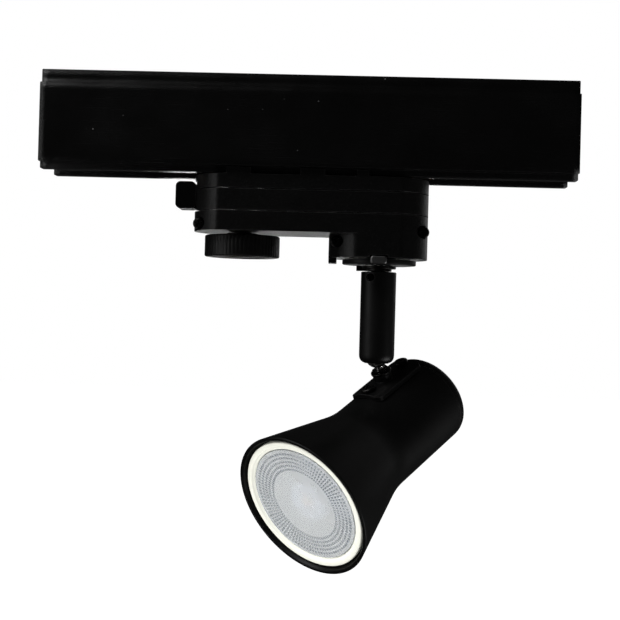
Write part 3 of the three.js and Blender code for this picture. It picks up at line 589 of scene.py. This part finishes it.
def adapter_screws():
    facing = place_at(Vector(), X, Z, -Y)
    for side, turn in ADAPTER_SCREW_TURNS.items():
        node = f"adapter_screw_{side}"
        low, high = measured(node, facing)
        middle = (low + high) / 2
        head, height = (high.x - low.x) / 2, ADAPTER_SCREW_HEAD
        place = facing @ Matrix.Translation((middle.x, middle.y, high.z - height))
        place = place @ Matrix.Rotation(math.radians(turn), 4, "Z")
        pan_screw(f"pan_screw_{side}", node, place, head, height, SCREW_SHANK, high.z - height - low.z)


def selector_knob():
    """A round knob with fine flutes down its side and a grip bar across its underside."""
    low, high = measured("selector_knob", SELECTOR)
    radius, flutes, chamfer = high.x, KNOB["flutes"], KNOB["chamfer"]
    levels = [
        (low.z, -chamfer - 0.2), (low.z + 0.15, -chamfer * 0.55), (low.z + chamfer, 0),
        (high.z - chamfer, 0), (high.z - 0.15, -chamfer * 0.5), (high.z, -chamfer)]
    sides = flutes * 6
    mesh_data = bmesh.new()
    rings = []
    for height, inset in levels:
        ring = []
        for side in range(sides):
            angle = 2 * math.pi * side / sides
            groove = KNOB["flute"] * max(0.0, math.cos(flutes * angle)) ** 2
            reach = radius - groove + inset
            ring.append(mesh_data.verts.new(
                SELECTOR @ Vector((reach * math.cos(angle), reach * math.sin(angle), height))))
        rings.append(ring)
    for first, second in zip(rings, rings[1:]):
        bridge(mesh_data, first, second)
    mesh_data.faces.new(rings[0])
    mesh_data.faces.new(rings[-1])
    blank = finished_mesh("selector_knob_fluted", mesh_data)
    well, bar = radius - KNOB["rim"], KNOB["bar"]
    grips = []
    for side in (-1, 1):
        start = math.asin(bar / well)
        turns = [start + (math.pi - 2 * start) * step / 24 for step in range(25)]
        moon = [(well * math.cos(turn), side * well * math.sin(turn)) for turn in turns]
        grips.append(prism("grip", moon, low.z - 1, low.z + KNOB["well"], SELECTOR))
    stand_in("selector_knob_fluted", carved(blank, grips), "selector_knob")


# ---------------------------------------------------------------- stem
def stem_tube():
    low, high = measured("stem_tube", STEM)
    radius, bore, socket = high.x, STEM_TUBE["bore"], STEM_TUBE["socket"]
    ball = (STEM.inverted() @ joint_place("ball_tilt")).z
    mouth = math.sqrt(socket ** 2 - (low.z - ball) ** 2)
    cup = []
    steps = 10
    for step in range(steps + 1):
        height = low.z + (ball - low.z) * step / steps
        cup.append((math.sqrt(max(socket ** 2 - (height - ball) ** 2, 0.01)), height))
    outside = rounded([
        (mouth, low.z), (STEM_TUBE["end_radius"], low.z), (radius, low.z, STEM_TUBE["end_round"]),
        (radius, high.z, 0.4), (bore, high.z)], closed=False)
    shoulder = ball + STEM_TUBE["socket_top"]
    inside = [(bore, shoulder), (socket, shoulder)] + cup[::-1]
    profile = [tuple(point) for point in outside] + inside
    tube = lathed("stem_tube_coated", profile, STEM, 96)
    grub = measured("stem_grub_screw", STEM)
    middle = (grub[0] + grub[1]) / 2
    facing = STEM @ Matrix.Translation((middle.x, 0, middle.z)) @ Matrix.Rotation(math.pi / 2, 4, "X")
    hole = prism("hole", circle(STEM_TUBE["grub_hole"], 24), 0.5, 10, facing)
    stand_in("stem_tube_coated", carved(tube, [hole]), "stem_tube")


def swivel_disc():
    low, high = measured("swivel_disc", STEM)
    profile = rounded([
        (DISC_BORE, low.z), (high.x, low.z, 0.5), (high.x, high.z, 0.25), (DISC_BORE, high.z)])
    stand_in("swivel_disc_coated", lathed("swivel_disc_coated", profile, STEM, 128), "swivel_disc")


def ball_stud():
    low, high = measured("ball_stud", STUD)
    radius, neck, bore = high.x, BALL_STUD["neck"], BALL_STUD["bore"]
    steps = 24
    start = math.asin(bore / radius)
    end = math.pi - math.asin(neck / radius)
    turns = [start + (end - start) * step / steps for step in range(steps + 1)]
    sphere = [(radius * math.sin(turn), radius * math.cos(turn)) for turn in turns]
    profile = [(bore, low.z)] + sphere + [(neck, low.z)]
    stand_in("ball_stud_plated", lathed("ball_stud_plated", profile, STUD, 96), "ball_stud")


# ---------------------------------------------------------------- head
def head_housing():
    low, high = measured("head_housing", LAMP)
    tube = measured("rear_cap", LAMP)[1].x
    mouth, front, back = high.x, low.z, high.z
    wall, kink, blend = HOUSING["wall"], HOUSING["kink"], HOUSING["blend"]
    outside = [(mouth - 0.05, front, 0.7), (tube, kink, blend), (tube, back)]
    inner_mouth = mouth - wall
    inside = [(tube - wall, back), (tube - wall, kink, blend), (inner_mouth, front, 0.5)]
    profile = rounded(outside + inside)
    shell = lathed("head_housing_coated", profile, LAMP, 192, 40)
    drill = STUD @ Matrix.Translation((0, 0, -30))
    holes = [prism("hole", circle(HOUSING["stud_hole"], 24), 0, 30, drill)]
    for node in ("saddle_screw_front", "saddle_screw_rear"):
        place = sum(measured(node, STUD), Vector()) / 2
        holes.append(prism("hole", circle(HOUSING["screw_hole"], 16, place.y), 0, 30, drill))
    stand_in("head_housing_coated", carved(shell, holes), "head_housing")


def rear_cap():
    low, high = measured("rear_cap", LAMP)
    radius, back = high.x, high.z
    edge, wall, spigot = CAP["edge"], CAP["wall"], CAP["spigot"]
    front = measured("head_housing", LAMP)[1].z + GAP
    profile = rounded([
        (0, back), (radius, back, edge), (radius, front, 0.2), (spigot, front), (spigot, low.z, 0.3),
        (spigot - wall, low.z), (spigot - wall, back - wall, 0.8), (0, back - wall)], closed=False)
    stand_in("rear_cap_coated", lathed("rear_cap_coated", profile, LAMP, 160), "rear_cap")


# ---------------------------------------------------------------- lamp
def lamp_ring():
    """The lamp's face: a flat rim that steps down to the lens."""
    low, high = measured("lamp_ring", LAMP)
    window = measured("lamp_lens", LAMP)[1].x + GAP
    radius = high.x
    profile = rounded([
        (window, high.z), (window, low.z + 0.9, 0.2), (window + 0.8, low.z + 0.45, 0.3),
        (window + 1.1, low.z, 0.3), (radius, low.z, 0.5), (radius, high.z)])
    stand_in("lamp_rim", lathed("lamp_rim", profile, LAMP, 160), "lamp_ring")


def lamp_lens():
    """A clear disc with rings of small pillow lenses moulded into its back between two radii."""
    low, high = measured("lamp_lens", LAMP)
    radius, back = high.x, high.z - LENS_RELIEF_ROOM
    inner, outer, rows, ribs = (LENS_RIBS[part] for part in ("inner", "outer", "rows", "ribs"))
    per_row, per_rib = 6, 6
    ribbed = [inner + (outer - inner) * step / (rows * per_row) for step in range(rows * per_row + 1)]
    radii = [0.01, 4, 8, 11, *ribbed, radius - 0.4, radius]
    sides = ribs * per_rib
    mesh_data = bmesh.new()
    fronts, backs = [], []
    for reach in radii:
        row = (reach - inner) / (outer - inner) * rows
        along_row = math.sin(math.pi * row) ** 2 if 0 < row < rows else 0.0
        front_ring, back_ring = [], []
        for side in range(sides):
            angle = 2 * math.pi * side / sides
            x, y = reach * math.cos(angle), reach * math.sin(angle)
            relief = LENS_RIBS["relief"] * along_row * math.sin(math.pi * side / per_rib) ** 2
            front_ring.append(mesh_data.verts.new(LAMP @ Vector((x, y, low.z))))
            back_ring.append(mesh_data.verts.new(LAMP @ Vector((x, y, back + relief))))
        fronts.append(front_ring)
        backs.append(back_ring)
    for rings in (fronts, backs):
        for first, second in zip(rings, rings[1:]):
            bridge(mesh_data, first, second)
        mesh_data.faces.new(rings[0])
    bridge(mesh_data, fronts[-1], backs[-1])
    mesh = finished_mesh("lamp_lens_ribbed", mesh_data, 60)
    stand_in("lamp_lens_ribbed", mesh, "lamp_lens")


def lamp_collimator():
    """A frosted cup over the emitter, wider at its front, with a small dimple there."""
    low, high = measured("lamp_collimator", LAMP)
    front, back = low.z, high.z
    wide, narrow, wall, depth = high.x, CUP["back_radius"], CUP["wall"], CUP["depth"]
    profile = rounded([
        (0, front + 0.7), (wide * 0.45, front + 0.25, 1.5), (wide, front, 0.4), (wide, front + 1.6, 0.5),
        (narrow, back, 0.4), (narrow - wall, back, 0.3), (narrow - wall - 0.6, back - depth + 0.6, 0.8),
        (0, back - depth)], closed=False)
    cup = lathed("lamp_collimator_frosted", profile, LAMP, 96)
    stand_in("lamp_collimator_frosted", cup, "lamp_collimator", finish="frosted_cup")


def lamp_body():
    low, high = measured("lamp_body", LAMP)
    board = measured("led_board", LAMP)
    rim, neck, wall = high.x, LAMP_SHELL["neck"], LAMP_SHELL["wall"]
    waist, waist_at = LAMP_SHELL["waist"], LAMP_SHELL["waist_at"]
    board_back = board[1].z + GAP
    floor_radius = board[1].x + 1.0
    outside = [(rim, low.z, 0.3), (waist, waist_at, 2), (17.2, 24, 3), (13.6, 34, 2), (neck, 38, 1),
               (neck, high.z, 0.5), (0, high.z)]
    inside = [(0, board_back), (floor_radius, board_back, 0.8), (waist - wall, waist_at, 2),
              (rim - wall, low.z, 0.3)]
    profile = rounded(outside + inside)
    stand_in("lamp_body_moulded", lathed("lamp_body_moulded", profile, LAMP, 128), "lamp_body")


def saddle_screws():
    for side, turn in SADDLE_SCREW_TURNS.items():
        node = f"saddle_screw_{side}"
        low, high = measured(node, STUD)
        middle = (low + high) / 2
        head, height = high.x, SADDLE_SCREW_HEAD
        place = STUD @ Matrix.Translation((middle.x, middle.y, high.z - height))
        place = place @ Matrix.Rotation(math.radians(turn), 4, "Z")
        pan_screw(f"saddle_pan_screw_{side}", node, place, head, height, SCREW_SHANK,
                  high.z - height - low.z)


# ---------------------------------------------------------------- stage
def camera():
    """Below the track's level, in front of the stem, and level to within a couple of degrees."""
    distance, left, below = 0.4963, 0.0106, 0.0554
    yaw, pitch, roll = (math.radians(angle) for angle in (-1.654, 0.543, 1.582))
    data = bpy.data.cameras.new("camera")
    data.lens = 78.24
    data.sensor_width = 36
    view = bpy.data.objects.new("camera", data)
    bpy.context.scene.collection.objects.link(view)
    forward = Vector((math.sin(yaw) * math.cos(pitch), math.cos(yaw) * math.cos(pitch), math.sin(pitch)))
    level = Vector((math.cos(yaw), -math.sin(yaw), 0))
    upward = level.cross(forward)
    right = level * math.cos(roll) + upward * math.sin(roll)
    top = upward * math.cos(roll) - level * math.sin(roll)
    turn = Matrix((right, top, -forward)).transposed().to_4x4()
    eye = joint_place("stem_swivel") + Vector((-left, -distance, -below))
    view.matrix_world = Matrix.Translation(eye) @ turn
    bpy.context.scene.camera = view


def soft_box(name, place, target, width, height, power):
    data = bpy.data.lights.new(name, "AREA")
    data.shape = "RECTANGLE"
    data.size = width
    data.size_y = height
    data.energy = power
    light = bpy.data.objects.new(name, data)
    bpy.context.scene.collection.objects.link(light)
    light.location = place
    light.rotation_mode = "QUATERNION"
    light.rotation_quaternion = (Vector(target) - Vector(place)).to_track_quat("-Z", "Y")


def studio():
    """A pale room: white to the eye, dimmer as a light, with soft boxes round the object."""
    world = bpy.data.worlds.new("studio")
    bpy.context.scene.world = world
    world.use_nodes = True
    nodes, links = world.node_tree.nodes, world.node_tree.links
    nodes.clear()
    output = nodes.new("ShaderNodeOutputWorld")
    seen = nodes.new("ShaderNodeBackground")
    seen.inputs["Color"].default_value = (1, 1, 1, 1)
    seen.inputs["Strength"].default_value = 1.0
    lit = nodes.new("ShaderNodeBackground")
    lit.inputs["Color"].default_value = (1, 1, 1, 1)
    lit.inputs["Strength"].default_value = 0.02
    path = nodes.new("ShaderNodeLightPath")
    mix = nodes.new("ShaderNodeMixShader")
    links.new(path.outputs["Is Camera Ray"], mix.inputs["Fac"])
    links.new(lit.outputs[0], mix.inputs[1])
    links.new(seen.outputs[0], mix.inputs[2])
    links.new(mix.outputs[0], output.inputs["Surface"])
    low, high = cad_box
    middle = (low + high) / 2
    soft_box("key", middle + Vector((-0.8, -0.35, 0.0)), middle, 0.35, 0.8, 3)
    soft_box("above", middle + Vector((-0.6, -0.4, 0.8)), middle, 0.6, 0.3, 14)
    soft_box("below_left", middle + Vector((-0.6, -0.4, -0.75)), middle, 0.5, 0.3, 7)
    soft_box("below_right", middle + Vector((0.7, -0.1, -0.55)), middle, 0.5, 0.5, 7)
    soft_box("behind", middle + Vector((-0.05, 1.1, -0.02)), middle, 0.3, 0.06, 0.4)
    soft_box("rear", middle + Vector((0.5, 0.7, 0.3)), middle, 0.7, 0.7, 1)


def floor():
    """A plain pale floor, well below the hanging object."""
    shader = Shader("pale_floor", Emission_Color=(1, 1, 1, 1), Emission_Strength=1.05)
    shader.colour(shader.mix(shader.noise(300, 2.0), grey(0.78), grey(0.82)))
    shader.roughness(shader.between(shader.noise(40, 2.0), 0.3, 0.7, 0.7, 0.8))
    mesh_data = bmesh.new()
    bmesh.ops.create_grid(mesh_data, x_segments=4, y_segments=4, size=12)
    mesh = finished_mesh("floor", mesh_data)
    mesh.materials.append(shader.material)
    ground = bpy.data.objects.new("floor", mesh)
    bpy.context.scene.collection.objects.link(ground)
    ground.location = (0, 0, cad_box[0].z - 0.55)
    ground.visible_glossy = False


# ---------------------------------------------------------------- build
bpy.context.scene.view_settings.view_transform = "Standard"
camera()
studio()
floor()
finish_cad_nodes()
adapter_screws()
selector_knob()
swivel_disc()
stem_tube()
ball_stud()
head_housing()
rear_cap()
saddle_screws()
lamp_ring()
lamp_lens()
lamp_collimator()
lamp_body()
